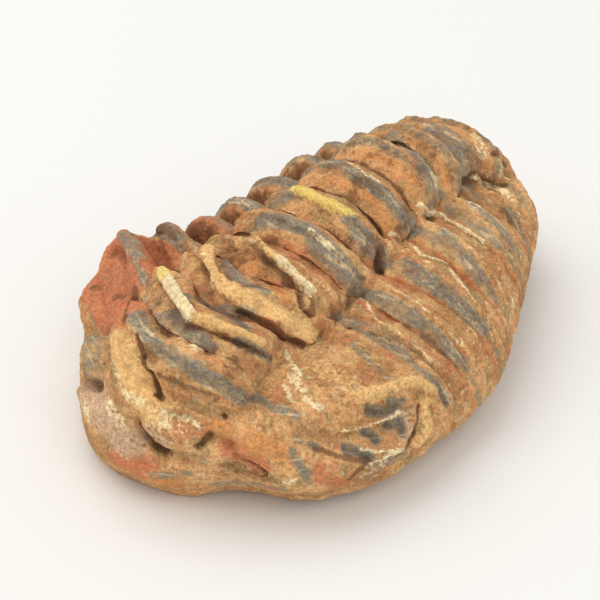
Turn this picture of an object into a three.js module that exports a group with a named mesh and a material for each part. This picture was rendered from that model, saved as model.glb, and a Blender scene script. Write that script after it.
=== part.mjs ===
// Calymenid trilobite fossil: the whole animal turned to one piece of ironstone, its head folded down
// in front and its tail curled down behind. Millimetres. +Y runs from the head to the tail, +X to the
// animal's one flank, +Z up, and the origin is under the middle of the body, on the resting plane.
import * as THREE from "three";

// A profile [power, root] runs from 1 at the middle line to 0 at the body's edge.
const EVEN = [2.4, 0.5];
const SWEEP = [2, 1];
const QUICK = [1.3, 2];
const LEAN = [1, 1.25];
const UNDER = [3, 0.5];

// Driving sections, one for each hand-measured place along the body. "at" counts the segments of the
// thorax and tail from the front (0 is the first ring), and is negative on the head, whose rows all meet
// at its two rear corners. "middle", "right" and "left" are [x, y, z] points of the upper surface, "axis"
// is the raised axial lobe's [half-width, rise, lag], where the lag is how far its rings sit behind their
// ribs, and "belly" the underside's [y, z] at the middle. The "plan" profiles say how each side bends back
// on its way to the edge, the "fall" ones how it comes down.
const HEAD_RIGHT = [28.2, -9, 6.5];
const HEAD_LEFT = [-27, -13.8, 8.8];
const SECTIONS = [
  {
    at: -5, middle: [-4.5, -36.3, 0], right: HEAD_RIGHT, left: HEAD_LEFT,
    axis: [11, 0, 0], belly: [-34.5, 0],
    planRight: [1.7, 0.5], planLeft: [1.6, 0.75], fallRight: [4, 0.5], fallLeft: EVEN,
  },
  {
    at: -4, middle: [-5.5, -38.2, 3.5], right: HEAD_RIGHT, left: HEAD_LEFT,
    axis: [11, 0, 0], belly: [-30, -1],
    planRight: [2.2, 0.5], planLeft: [1.45, 0.86], fallRight: EVEN, fallLeft: EVEN,
  },
  {
    at: -3, middle: [-6, -38.6, 8], right: HEAD_RIGHT, left: HEAD_LEFT,
    axis: [11, 0, 0], belly: [-25, -1],
    planRight: [2.6, 0.5], planLeft: [1.33, 0.92], fallRight: EVEN, fallLeft: EVEN,
  },
  {
    at: -2, middle: [-4, -38.2, 12.2], right: HEAD_RIGHT, left: HEAD_LEFT,
    axis: [11, 0.5, 0], belly: [-20, -1],
    planRight: [2.6, 0.5], planLeft: [1.33, 0.95], fallRight: EVEN, fallLeft: [1.8, 0.6],
  },
  {
    at: -1, middle: [-1, -37, 15.6], right: HEAD_RIGHT, left: HEAD_LEFT,
    axis: [12, 1, 0], belly: [-16, -1],
    planRight: [1.8, 0.6], planLeft: [1.25, 0.9], fallRight: EVEN, fallLeft: [1.4, 0.7],
  },
  {
    at: 0, middle: [0, -34.6, 17], right: [28.2, -8.8, 6.5], left: [-27.1, -13.2, 9.4],
    axis: [12.4, 4.6, 0], belly: [-13, -1],
    planRight: [1.8, 0.8], planLeft: [1.4, 1.4], fallRight: EVEN, fallLeft: [2, 0.5],
  },
  {
    at: 1, middle: [0, -28, 18.4], right: [28.2, -8.4, 6.5], left: [-27, -12, 11.8],
    axis: [11.6, 4.8, 0], belly: [-11, -1],
    planRight: SWEEP, planLeft: LEAN, fallRight: EVEN, fallLeft: EVEN,
  },
  {
    at: 2, middle: [0, -20.4, 17.6], right: [28.2, -7.6, 6.5], left: [-26.4, -10.8, 12],
    axis: [12, 4.8, 0], belly: [-9, -1],
    planRight: QUICK, planLeft: [1, 1.6], fallRight: EVEN, fallLeft: EVEN,
  },
  {
    at: 3, middle: [0, -12.8, 18.2], right: [28.4, -6.8, 6], left: [-24.4, -8, 8.6],
    axis: [11.4, 4.9, 0], belly: [-6, -1],
    planRight: QUICK, planLeft: LEAN, fallRight: [2, 0.68], fallLeft: EVEN,
  },
  {
    at: 4, middle: [0, -5.7, 18.8], right: [28.4, -2.2, 6], left: [-22.4, -3, 5.8],
    axis: [11.1, 5, 0], belly: [-1, -1],
    planRight: QUICK, planLeft: LEAN, fallRight: [2.2, 0.6], fallLeft: EVEN,
  },
  {
    at: 5, middle: [0, -0.2, 19], right: [28, 2.8, 6.5], left: [-21.4, 2.8, 5.8],
    axis: [10.3, 5.2, 0], belly: [5, -1],
    planRight: QUICK, planLeft: LEAN, fallRight: EVEN, fallLeft: EVEN,
  },
  {
    at: 6, middle: [0, 7.5, 19.6], right: [26.6, 7, 7], left: [-20.6, 9.2, 6.2],
    axis: [9.6, 5.2, 0.2], belly: [11, -1],
    planRight: QUICK, planLeft: LEAN, fallRight: EVEN, fallLeft: EVEN,
  },
  {
    at: 7, middle: [0, 14, 19.8], right: [24.2, 12.8, 8], left: [-19.6, 15.8, 6.8],
    axis: [9.4, 5, 1.9], belly: [17, -0.8],
    planRight: QUICK, planLeft: LEAN, fallRight: EVEN, fallLeft: EVEN,
  },
  {
    at: 8, middle: [0, 19.7, 19], right: [21, 20, 9], left: [-18.4, 21.8, 7.4],
    axis: [9, 4.8, 2.4], belly: [22, -0.4],
    planRight: QUICK, planLeft: LEAN, fallRight: EVEN, fallLeft: EVEN,
  },
  {
    at: 9, middle: [0, 25.4, 17.6], right: [18.2, 25.6, 9], left: [-16.6, 27.5, 8.5],
    axis: [8.6, 4.4, 2.3], belly: [26, 0.6],
    planRight: QUICK, planLeft: LEAN, fallRight: EVEN, fallLeft: EVEN,
  },
  {
    at: 10, middle: [0.6, 31, 16.6], right: [15.8, 31, 9], left: [-14, 32, 9],
    axis: [8.2, 3.4, 1.5], belly: [30, 2],
    planRight: QUICK, planLeft: LEAN, fallRight: EVEN, fallLeft: EVEN,
  },
  {
    at: 11, middle: [1.4, 36.2, 14.6], right: [12.6, 35.2, 9], left: [-11, 35.2, 9.2],
    axis: [7, 1.8, 0.4], belly: [34, 4.2],
    planRight: QUICK, planLeft: LEAN, fallRight: EVEN, fallLeft: EVEN,
  },
  {
    at: 11.6, middle: [1, 39.2, 9.6], right: [7.6, 38.2, 9.2], left: [-6.4, 38.2, 9.2],
    axis: [5, 0, 0], belly: [39.2, 9.6],
    planRight: QUICK, planLeft: LEAN, fallRight: EVEN, fallLeft: EVEN,
  },
];

const arch = ([power, root], out) => Math.pow(Math.max(0, 1 - Math.pow(out, power)), root);

// A smooth curve through [position, value] pairs.
function through(pairs) {
  const last = pairs.length - 1;
  const slope = (i) => {
    const a = pairs[Math.max(0, i - 1)];
    const b = pairs[Math.min(last, i + 1)];
    return (b[1] - a[1]) / (b[0] - a[0]);
  };
  return (at) => {
    if (at <= pairs[0][0]) return pairs[0][1];
    if (at >= pairs[last][0]) return pairs[last][1];
    let i = 0;
    while (pairs[i + 1][0] < at) i += 1;
    const [x0, v0] = pairs[i];
    const [x1, v1] = pairs[i + 1];
    const span = x1 - x0;
    const t = (at - x0) / span;
    const t2 = t * t;
    const t3 = t2 * t;
    return (2 * t3 - 3 * t2 + 1) * v0 + (t3 - 2 * t2 + t) * span * slope(i)
      + (3 * t2 - 2 * t3) * v1 + (t3 - t2) * span * slope(i + 1);
  };
}

// The same curve through one list-valued entry of the sections.
function along(name) {
  const curves = SECTIONS[0][name].map((_, k) => through(SECTIONS.map((s) => [s.at, s[name][k]])));
  return (at) => curves.map((curve) => curve(at));
}
const middleAt = along("middle");
const rightAt = along("right");
const leftAt = along("left");
const planRightAt = along("planRight");
const planLeftAt = along("planLeft");
const fallRightAt = along("fallRight");
const fallLeftAt = along("fallLeft");
const axisAt = along("axis");
const bellyAt = along("belly");

const mix = (a, b, t) => a + (b - a) * t;
const smooth = (edge0, edge1, v) => {
  const t = Math.min(1, Math.max(0, (v - edge0) / (edge1 - edge0)));
  return t * t * (3 - 2 * t);
};

// The axial lobe's cross-section: 0.5 would be a half ellipse, 1 a parabola.
const LOBE_ROUNDNESS = 0.75;
// Its lag holds for nearly the whole of its width.
const LAG = [4, 0.5];

// A point of the upper surface, "out" of the way from the middle to the right (+1) or left (-1) edge.
function upperPoint(at, side, out) {
  const middle = middleAt(at);
  const edge = side > 0 ? rightAt(at) : leftAt(at);
  const plan = arch(side > 0 ? planRightAt(at) : planLeftAt(at), out);
  const fall = arch(side > 0 ? fallRightAt(at) : fallLeftAt(at), out);
  const [half, rise, lag] = axisAt(at);
  const x = mix(middle[0], edge[0], out);
  const r = Math.min(1, Math.abs(x - middle[0]) / half);
  return new THREE.Vector3(
    x,
    mix(edge[1], middle[1], plan) + lag * arch(LAG, r),
    mix(edge[2], middle[2], fall) + rise * Math.pow(1 - r * r, LOBE_ROUNDNESS),
  );
}
// The point of the underside below it.
function underPoint(at, side, out) {
  const middle = middleAt(at);
  const edge = side > 0 ? rightAt(at) : leftAt(at);
  const [y, z] = bellyAt(at);
  return new THREE.Vector3(
    mix(middle[0], edge[0], out),
    mix(edge[1], y, arch(side > 0 ? planRightAt(at) : planLeftAt(at), out)),
    mix(edge[2], z, arch(UNDER, out)),
  );
}

// Local forms: each follows a path of [x, y, z] points near the surface, and raises it (or cuts it, where
// the height is negative) in a smooth swell of the given half-width.
const FORMS = [
  // Rear border of the head on the left, and the crack behind it.
  {
    path: [[-9, -31, 19.5], [-5, -34, 18.6], [-2.5, -36, 17.6], [0.5, -37, 16.2]],
    width: 2.2, height: 1.3,
  },
  { path: [[-2, -34.6, 22], [0, -35.6, 20.4], [2.8, -36.5, 16.7]], width: 1.1, height: -1.4 },
  // Glabella in the middle of the face, with the round side lobe and the moat under it.
  { path: [[-8, -37.5, 9], [-3, -38.5, 10]], width: 5, height: 0.8 },
  { path: [[3.5, -37.8, 13], [8.5, -36.6, 12.6]], width: 2.6, height: 1.6 },
  {
    path: [
      [1, -38, 12.7], [2, -38.2, 10.5], [4.5, -38, 9.2],
      [7, -37.5, 9.2], [9.6, -36.8, 11], [10.6, -35.7, 13.3],
    ],
    width: 1.1, height: -1.3,
  },
  { path: [[-1, -38.4, 5.5], [3, -38, 5]], width: 3, height: 0.7 },
  // Two small lobes on the left corner of the face, and the notches round them.
  { path: [[-12, -32, 13]], width: 3, height: 1.2 },
  { path: [[-13.6, -33.6, 9.4], [-11, -36, 9.5], [-7, -36.6, 13.3]], width: 1.5, height: -1.5 },
  { path: [[-19.8, -25.4, 9.5], [-17.8, -27, 11], [-15, -27.6, 12.4]], width: 1.8, height: -2 },
  { path: [[-15, -27, 13], [-11, -29.5, 18]], width: 1.6, height: -1.4 },
  // Bulging margin of the left cheek.
  { path: [[-25.8, -13.8, 11.6], [-24, -18.2, 10.8], [-22.4, -21.4, 10.6]], width: 2.5, height: 1.7 },
  // The two foremost ribs on the left, and the cleft between them.
  {
    path: [[-23.6, -11, 15.4], [-20, -14, 17.5], [-15, -18.4, 18], [-12.8, -19.6, 17.5]],
    width: 1.7, height: 2,
  },
  { path: [[-21.6, -11.4, 16.5], [-16, -14.6, 16.5]], width: 1.3, height: -1 },
  { path: [[-22.4, -9.6, 16.4], [-18.6, -10, 16.8], [-14.7, -11.3, 16]], width: 1.8, height: 2.2 },
  // Furrow down the face that ends in the undercut, and the swelling beside it.
  { path: [[12.7, -35, 12.5], [13.6, -35, 9.6], [14, -34.5, 5]], width: 1.4, height: -1.3 },
  { path: [[14, -33, 13], [17, -31, 13]], width: 2.5, height: 0.9 },
  // Right cheek: rear border, outer band, the C-shaped rim of the eye, its hollow and the lower bulge.
  {
    path: [[16, -29, 14.8], [20.5, -21.5, 14.4], [22.5, -16.7, 14.2], [24, -10, 12.8]],
    width: 1.8, height: 0.9,
  },
  { path: [[25, -9, 11.8], [28, -9, 8.5]], width: 1.8, height: 0.9 },
  { path: [[26, -13, 11], [27.4, -15, 8.5], [27, -18.5, 6.6]], width: 1.3, height: 1 },
  { path: [[24, -21, 11.2], [25.2, -17, 11]], width: 2.2, height: -0.9 },
  { path: [[19, -28.3, 13], [21.5, -26, 12], [23.5, -24, 10.6]], width: 1.3, height: -0.8 },
  { path: [[20, -29.5, 8], [24.7, -24, 7.5], [26.6, -19.8, 6]], width: 3.2, height: 1.2 },
  // Raised blades of broken shell on the second and third rings.
  { path: [[-9.5, -22, 21.5], [-5, -24.6, 23], [-0.5, -26.8, 23.5]], width: 1.7, height: 1.3 },
  { path: [[-10, -13.8, 21], [-6, -16.2, 22.5]], width: 1.8, height: 1.4 },
  { path: [[-3, -18, 23], [3, -20.2, 23], [9, -19.6, 20.5]], width: 1.6, height: 0.7 },
];
const formCurves = FORMS.map(({ path, width, height }) => {
  const stops = path.map((p) => new THREE.Vector3(...p));
  const ends = stops.length > 1 ? stops.slice(1) : stops;
  const legs = ends.map((end, i) => new THREE.Line3(stops[i], end));
  return { legs, width, height };
});
const nearest = new THREE.Vector3();
function localHeight(point) {
  let sum = 0;
  for (const { legs, width, height } of formCurves) {
    let gap = Infinity;
    for (const leg of legs) {
      leg.closestPointToPoint(point, true, nearest);
      gap = Math.min(gap, nearest.distanceTo(point));
    }
    sum += height * Math.exp(-Math.pow(gap / width, 2));
  }
  return sum;
}

// Relief of the segments over the smooth body: each ring or rib is a round crest, and the furrow after it
// is narrower the greater RING_SHAPE is. A pair is the stretch over which something comes in or runs out,
// counted in segments along the body or in fractions of the way out to its edge.
const RING_SHAPE = 3.2;
const RING_HEIGHT = 1.4;
const RIB_HEIGHT = 1.25;
const KNOB_HEIGHT = 0.9;
const AXIAL_FURROW = { depth: 1.3, width: 1.6 };
const FIRST_RING = [-0.5, 0.2];
const LAST_RING = [10.6, 11.5];
const RIB_ENDS = [0.72, 1];
// The cheeks lie over the foremost ribs, or the ribs there are local forms.
const RIGHT_RIBS_FROM = [1.9, 3.1];
const LEFT_RIBS_FROM = [2.3, 3.1];
// The ribs on the right are broader than the rings: [place, number of the rib whose crest is there].
const RIGHT_RIBS = [
  [-0.5, -0.7], [2.2, 2], [3.2, 3], [4.2, 4], [5.45, 5], [6.65, 6], [7.9, 7], [9, 8], [10.1, 9], [11.6, 10.4],
];
const rightRibAt = through(RIGHT_RIBS);
// Those on the left swell into knobs at their ends.
const LEFT_KNOBS_FROM = [0, 1.6];
const KNOB_SWELL = [0.4, 0.7];

function segmentHeight(at, side, out) {
  if (at < FIRST_RING[0]) return 0;
  const edge = side > 0 ? rightAt(at) : leftAt(at);
  const across = Math.abs(edge[0] - middleAt(at)[0]) * out;
  const [half] = axisAt(at);
  const wave = (count) => 1 - 2 * Math.pow(Math.abs(Math.sin(Math.PI * count)), RING_SHAPE);
  const present = smooth(...FIRST_RING, at) * (1 - smooth(...LAST_RING, at));
  const furrow = AXIAL_FURROW.depth * Math.exp(-Math.pow((across - half) / AXIAL_FURROW.width, 2));
  let height = RING_HEIGHT * wave(at);
  if (across >= half && side > 0) {
    height = RIB_HEIGHT * wave(rightRibAt(at)) * smooth(...RIGHT_RIBS_FROM, at);
  }
  if (across >= half && side < 0) {
    const knob = KNOB_HEIGHT * smooth(...KNOB_SWELL, out) * smooth(...LEFT_KNOBS_FROM, at);
    height = (RIB_HEIGHT + knob) * wave(at) * smooth(...LEFT_RIBS_FROM, at);
  }
  return present * (height * (1 - smooth(...RIB_ENDS, out)) - furrow);
}

// Rows along the body, close together on the steep sides of each ring.
const HEAD_STEP = 0.2;
const SEGMENT_STEPS = [-0.5, -0.37, -0.24, 0, 0.24, 0.37];
const FIRST = SECTIONS[0].at;
const LAST = SECTIONS[SECTIONS.length - 1].at;
const ROWS = [];
for (let at = FIRST; at < SEGMENT_STEPS[0] - HEAD_STEP; at += HEAD_STEP) ROWS.push(at);
for (let ring = 0; ring < LAST; ring += 1) {
  for (const step of SEGMENT_STEPS) {
    if (ring + step < LAST) ROWS.push(ring + step);
  }
}
ROWS.push(LAST);

// Columns across a row: fractions of the axial lobe, of the flank beyond it, and of the underside.
const AXIS_COLUMNS = [0.22, 0.42, 0.6, 0.75, 0.88, 1];
const FLANK_COLUMNS = [0.1, 0.22, 0.35, 0.48, 0.6, 0.71, 0.81, 0.9, 0.96];
const UNDER_COLUMNS = [0.96, 0.85, 0.6, 0.3];
const LOBE_LIMIT = 0.6;

// Every vertex of the smooth body, and how far it is then moved along its normal.
const points = [];
const relief = [];
const add = (point, height) => {
  points.push(point);
  relief.push(height);
  return points.length - 1;
};
// The local forms fade where the upper side closes on the underside.
const EDGE_FADE = { from: 0.8, loss: 0.8 };
const addUpper = (at, side, out) => {
  const point = upperPoint(at, side, out);
  const kept = 1 - EDGE_FADE.loss * smooth(EDGE_FADE.from, 1, out);
  return add(point, segmentHeight(at, side, out) + localHeight(point) * kept);
};

// The rows of the head share one vertex at each rear corner.
const SAME_PLACE = 0.1;
const corner = new Map();
const edgeVertex = (at, side) => {
  const point = upperPoint(at, side, 1);
  const held = corner.get(side);
  if (held === undefined || points[held].distanceTo(point) >= SAME_PLACE) corner.set(side, add(point, 0));
  return corner.get(side);
};
const columns = (at, side) => {
  const edge = side > 0 ? rightAt(at) : leftAt(at);
  const reach = Math.abs(edge[0] - middleAt(at)[0]);
  const lobe = Math.min(LOBE_LIMIT, axisAt(at)[0] / reach);
  return [...AXIS_COLUMNS.map((c) => c * lobe), ...FLANK_COLUMNS.map((c) => mix(lobe, 1, c))];
};
const grid = ROWS.map((at) => {
  const [leftEdge, rightEdge] = [edgeVertex(at, -1), edgeVertex(at, 1)];
  const upper = (side) => columns(at, side).map((out) => addUpper(at, side, out));
  const under = (side) => UNDER_COLUMNS.map((out) => add(underPoint(at, side, out), 0));
  const top = [leftEdge, ...upper(-1).reverse(), addUpper(at, 1, 0), ...upper(1), rightEdge];
  if (at === FIRST || at === LAST) return { at, top, bottom: top };
  const middle = add(underPoint(at, 1, 0), 0);
  return { at, top, bottom: [leftEdge, ...under(-1), middle, ...under(1).reverse(), rightEdge] };
});

const index = [];
const face = (a, b, c) => {
  if (a !== b && b !== c && c !== a) index.push(a, b, c);
};
// Joins two rows, whose counts may differ, by the shorter diagonals.
const stitch = (before, after, flip) => {
  let i = 0;
  let j = 0;
  const gap = (a, b) => (a === undefined || b === undefined ? Infinity : points[a].distanceTo(points[b]));
  while (i < before.length - 1 || j < after.length - 1) {
    const stepBefore = gap(before[i + 1], after[j]) <= gap(before[i], after[j + 1]);
    const [a, b] = [before[i], after[j]];
    const c = stepBefore ? before[i + 1] : after[j + 1];
    if (stepBefore) i += 1;
    else j += 1;
    if (flip) face(a, b, c);
    else face(a, c, b);
  }
};
for (let r = 0; r + 1 < grid.length; r += 1) {
  stitch(grid[r].top, grid[r + 1].top, false);
  stitch(grid[r].bottom, grid[r + 1].bottom, true);
}

// The front margin arches clear of the resting plane at one spot.
const UNDERCUT = { x: 13, y: -32.5, radius: 8, height: 2.6, top: [3, 9] };
const lift = ({ x, y, z }) => {
  const gap = Math.min(1, Math.hypot(x - UNDERCUT.x, y - UNDERCUT.y) / UNDERCUT.radius);
  return UNDERCUT.height * Math.pow(1 - gap * gap, 2) * (1 - smooth(...UNDERCUT.top, z));
};

// The smooth body is cut off flat at the resting plane, and the relief is raised along its normals.
const geometry = new THREE.BufferGeometry();
const place = (list) => geometry.setAttribute("position", new THREE.Float32BufferAttribute(list, 3));
place(points.flatMap((p) => [p.x, p.y, Math.max(0, p.z) + lift(p)]));
geometry.setIndex(index);
geometry.computeVertexNormals();
const normal = geometry.getAttribute("normal");
place(points.flatMap((p, i) => [
  p.x + normal.getX(i) * relief[i],
  p.y + normal.getY(i) * relief[i],
  Math.max(0, p.z + normal.getZ(i) * relief[i]) + lift(p),
]));
geometry.deleteAttribute("normal");

// The origin goes under the middle of the body.
geometry.computeBoundingBox();
const centre = geometry.boundingBox.getCenter(new THREE.Vector3());
geometry.translate(-centre.x, -centre.y, -geometry.boundingBox.min.z);

const stone = new THREE.MeshStandardMaterial({ color: 0xb07a4c, roughness: 0.9, metalness: 0 });
const fossil = new THREE.Mesh(geometry, stone);
fossil.name = "trilobite_fossil";
const group = new THREE.Group();
group.add(fossil);

export default group;
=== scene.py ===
"""Calymenid trilobite turned to rusty ironstone: the fossil's crust, cracks, blades of shell and colours.

Metres, +Y from the head to the tail, +X to the flank with the whole cheek, +Z up, resting on z = 0.
Places on the animal are given as (at, across): "at" counts the rings of the body from the front (0 is the
first ring, below 0 is the head), and "across" is millimetres from the middle line, to the right above 0.
"""

import math

import bpy
import numpy as np
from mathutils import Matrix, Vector, noise
from mathutils.bvhtree import BVHTree
from mathutils.interpolate import poly_3d_calc


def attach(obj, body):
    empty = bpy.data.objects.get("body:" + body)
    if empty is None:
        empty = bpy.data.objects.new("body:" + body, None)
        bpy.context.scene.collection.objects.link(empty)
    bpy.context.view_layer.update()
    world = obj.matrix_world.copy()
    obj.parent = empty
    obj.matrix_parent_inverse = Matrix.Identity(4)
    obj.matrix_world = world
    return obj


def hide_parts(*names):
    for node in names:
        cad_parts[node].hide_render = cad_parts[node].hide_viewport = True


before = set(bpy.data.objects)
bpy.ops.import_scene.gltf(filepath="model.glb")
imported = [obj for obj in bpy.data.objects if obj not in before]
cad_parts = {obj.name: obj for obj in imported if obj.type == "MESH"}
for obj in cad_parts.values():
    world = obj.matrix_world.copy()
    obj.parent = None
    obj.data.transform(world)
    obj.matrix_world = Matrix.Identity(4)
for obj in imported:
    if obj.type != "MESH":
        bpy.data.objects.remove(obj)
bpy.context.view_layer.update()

bl_info = {
    "name": "Trilobite fossil",
    "version": (1, 0, 0),
    "blender": (4, 5, 0),
    "location": "View3D > Sidebar > Fossil",
    "description": "Dresses the trilobite fossil's solid in rusty ironstone crust",
    "category": "Object",
}

MM = 0.001
NODE = "trilobite_fossil"
BODY = "root"
PIECE = "fossil_body"


def linear(hex_value):
    """An sRGB hex colour as linear red, green, blue and alpha."""
    channels = [int(hex_value[i:i + 2], 16) / 255 for i in (0, 2, 4)]
    return tuple(c / 12.92 if c <= 0.04045 else ((c + 0.055) / 1.055) ** 2.4 for c in channels) + (1.0,)


# ---- The smooth shape of the animal, which says where on it a point is ----

# A profile (power, root) runs from 1 at the middle line to 0 at the body's edge.
EVEN = (2.4, 0.5)
SWEEP = (2, 1)
QUICK = (1.3, 2)
LEAN = (1, 1.25)
# The two rear corners of the head, where its rows meet.
HEAD_RIGHT = (28.2, -9, 6.5)
HEAD_LEFT = (-27, -13.8, 8.8)
# The solid's own sections. Each has its place along the body, the upper surface's points at the middle and
# at both edges, the profiles of how each side bends back and comes down, and the axial lobe's half width,
# rise and lag.
AT, MIDDLE, RIGHT, LEFT, PLAN_RIGHT, PLAN_LEFT, FALL_RIGHT, FALL_LEFT, LOBE = range(9)
SECTIONS = (
    (-5, (-4.5, -36.3, 0), HEAD_RIGHT, HEAD_LEFT, (1.7, 0.5), (1.6, 0.75), (4, 0.5), EVEN, (11, 0, 0)),
    (-4, (-5.5, -38.2, 3.5), HEAD_RIGHT, HEAD_LEFT, (2.2, 0.5), (1.45, 0.86), EVEN, EVEN, (11, 0, 0)),
    (-3, (-6, -38.6, 8), HEAD_RIGHT, HEAD_LEFT, (2.6, 0.5), (1.33, 0.92), EVEN, EVEN, (11, 0, 0)),
    (-2, (-4, -38.2, 12.2), HEAD_RIGHT, HEAD_LEFT, (2.6, 0.5), (1.33, 0.95), EVEN, (1.8, 0.6), (11, 0.5, 0)),
    (-1, (-1, -37, 15.6), HEAD_RIGHT, HEAD_LEFT, (1.8, 0.6), (1.25, 0.9), EVEN, (1.4, 0.7), (12, 1, 0)),
    (0, (0, -34.6, 17), (28.2, -8.8, 6.5), (-27.1, -13.2, 9.4),
     (1.8, 0.8), (1.4, 1.4), EVEN, (2, 0.5), (12.4, 4.6, 0)),
    (1, (0, -28, 18.4), (28.2, -8.4, 6.5), (-27, -12, 11.8), SWEEP, LEAN, EVEN, EVEN, (11.6, 4.8, 0)),
    (2, (0, -20.4, 17.6), (28.2, -7.6, 6.5), (-26.4, -10.8, 12), QUICK, (1, 1.6), EVEN, EVEN, (12, 4.8, 0)),
    (3, (0, -12.8, 18.2), (28.4, -6.8, 6), (-24.4, -8, 8.6), QUICK, LEAN, (2, 0.68), EVEN, (11.4, 4.9, 0)),
    (4, (0, -5.7, 18.8), (28.4, -2.2, 6), (-22.4, -3, 5.8), QUICK, LEAN, (2.2, 0.6), EVEN, (11.1, 5, 0)),
    (5, (0, -0.2, 19), (28, 2.8, 6.5), (-21.4, 2.8, 5.8), QUICK, LEAN, EVEN, EVEN, (10.3, 5.2, 0)),
    (6, (0, 7.5, 19.6), (26.6, 7, 7), (-20.6, 9.2, 6.2), QUICK, LEAN, EVEN, EVEN, (9.6, 5.2, 0.2)),
    (7, (0, 14, 19.8), (24.2, 12.8, 8), (-19.6, 15.8, 6.8), QUICK, LEAN, EVEN, EVEN, (9.4, 5, 1.9)),
    (8, (0, 19.7, 19), (21, 20, 9), (-18.4, 21.8, 7.4), QUICK, LEAN, EVEN, EVEN, (9, 4.8, 2.4)),
    (9, (0, 25.4, 17.6), (18.2, 25.6, 9), (-16.6, 27.5, 8.5), QUICK, LEAN, EVEN, EVEN, (8.6, 4.4, 2.3)),
    (10, (0.6, 31, 16.6), (15.8, 31, 9), (-14, 32, 9), QUICK, LEAN, EVEN, EVEN, (8.2, 3.4, 1.5)),
    (11, (1.4, 36.2, 14.6), (12.6, 35.2, 9), (-11, 35.2, 9.2), QUICK, LEAN, EVEN, EVEN, (7, 1.8, 0.4)),
    (11.6, (1, 39.2, 9.6), (7.6, 38.2, 9.2), (-6.4, 38.2, 9.2), QUICK, LEAN, EVEN, EVEN, (5, 0, 0)),
)
STOPS = np.array([row[AT] for row in SECTIONS], float)
# How round the lobe is across, and the profile of how its rings lag behind the flanks.
LOBE_ROUNDNESS = 0.75
LAG = (4, 0.5)
# How far the middle of the solid's box is from the middle line of these sections.
CENTRE = (0.669, -0.170, 0)
# The ribs of the right flank are broader than the rings: place along the body, number of the rib there.
RIGHT_RIBS = (
    (-5, -5), (-0.5, -0.7), (2.2, 2), (3.2, 3), (4.2, 4), (5.45, 5), (6.65, 6), (7.9, 7), (9, 8), (10.1, 9),
    (11.6, 10.4),
)
# Cosine of a vertex's angle to the smooth upper surface: underside below the first, top above the second.
UPPER_SIDE = (-0.15, 0.35)
# Soft noises over the whole body: size in millimetres, and a seed that keeps them apart.
DRIFTS = {
    "wander": (5, 1), "wear": (6, 2), "coarse rags": (1.6, 3), "fine rags": (0.7, 4), "red": (4, 6),
    "umber_and_shade": (2.5, 7),
}


def through(stops, values, at):
    """A smooth curve through values at stops, the same as the solid's own."""
    last = len(stops) - 1
    before = np.maximum(np.arange(last + 1) - 1, 0)
    after = np.minimum(np.arange(last + 1) + 1, last)
    slopes = (values[after] - values[before]) / (stops[after] - stops[before])[:, None]
    at = np.clip(at, stops[0], stops[-1])
    i = np.clip(np.searchsorted(stops, at, side="right") - 1, 0, last - 1)
    span = stops[i + 1] - stops[i]
    t = ((at - stops[i]) / span)[..., None]
    span = span[..., None]
    return ((2 * t**3 - 3 * t**2 + 1) * values[i] + (t**3 - 2 * t**2 + t) * span * slopes[i]
            + (3 * t**2 - 2 * t**3) * values[i + 1] + (t**3 - t**2) * span * slopes[i + 1])


def section(at, column):
    """One entry of the sections, at any place along the body."""
    return through(STOPS, np.array([row[column] for row in SECTIONS], float), np.asarray(at, float))


def arch(profile, out):
    return np.maximum(0, 1 - np.maximum(out, 0) ** profile[..., 0]) ** profile[..., 1]


def skin(at, out):
    """Points of the smooth upper surface, in millimetres. Out is -1 at the left edge and 1 at the right."""
    at, out = np.broadcast_arrays(np.asarray(at, float), np.asarray(out, float))
    right = (out >= 0)[..., None]
    middle, lobe = section(at, MIDDLE), section(at, LOBE)
    edge = np.where(right, section(at, RIGHT), section(at, LEFT))
    plan = arch(np.where(right, section(at, PLAN_RIGHT), section(at, PLAN_LEFT)), np.abs(out))
    fall = arch(np.where(right, section(at, FALL_RIGHT), section(at, FALL_LEFT)), np.abs(out))
    x = middle[..., 0] + (edge[..., 0] - middle[..., 0]) * np.abs(out)
    r = np.minimum(1, np.abs(x - middle[..., 0]) / lobe[..., 0])
    y = edge[..., 1] + (middle[..., 1] - edge[..., 1]) * plan + lobe[..., 2] * arch(np.array(LAG), r)
    z = edge[..., 2] + (middle[..., 2] - edge[..., 2]) * fall + lobe[..., 1] * (1 - r * r) ** LOBE_ROUNDNESS
    return np.stack([x, y, z], -1) - np.array(CENTRE)


def places(path):
    """Points of the smooth surface for a path of (at, across) pairs."""
    at, across = np.array(path, float).T
    edge = np.where(across >= 0, section(at, RIGHT)[:, 0], section(at, LEFT)[:, 0])
    reach = edge - section(at, MIDDLE)[:, 0]
    return skin(at, np.sign(across) * np.clip(across / reach, 0, 1))


def smooth(edge0, edge1, value):
    t = np.clip((value - edge0) / (edge1 - edge0), 0, 1)
    return t * t * (3 - 2 * t)


def bell(value, middle, width):
    return np.exp(-((value - middle) / width) ** 2)


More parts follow.
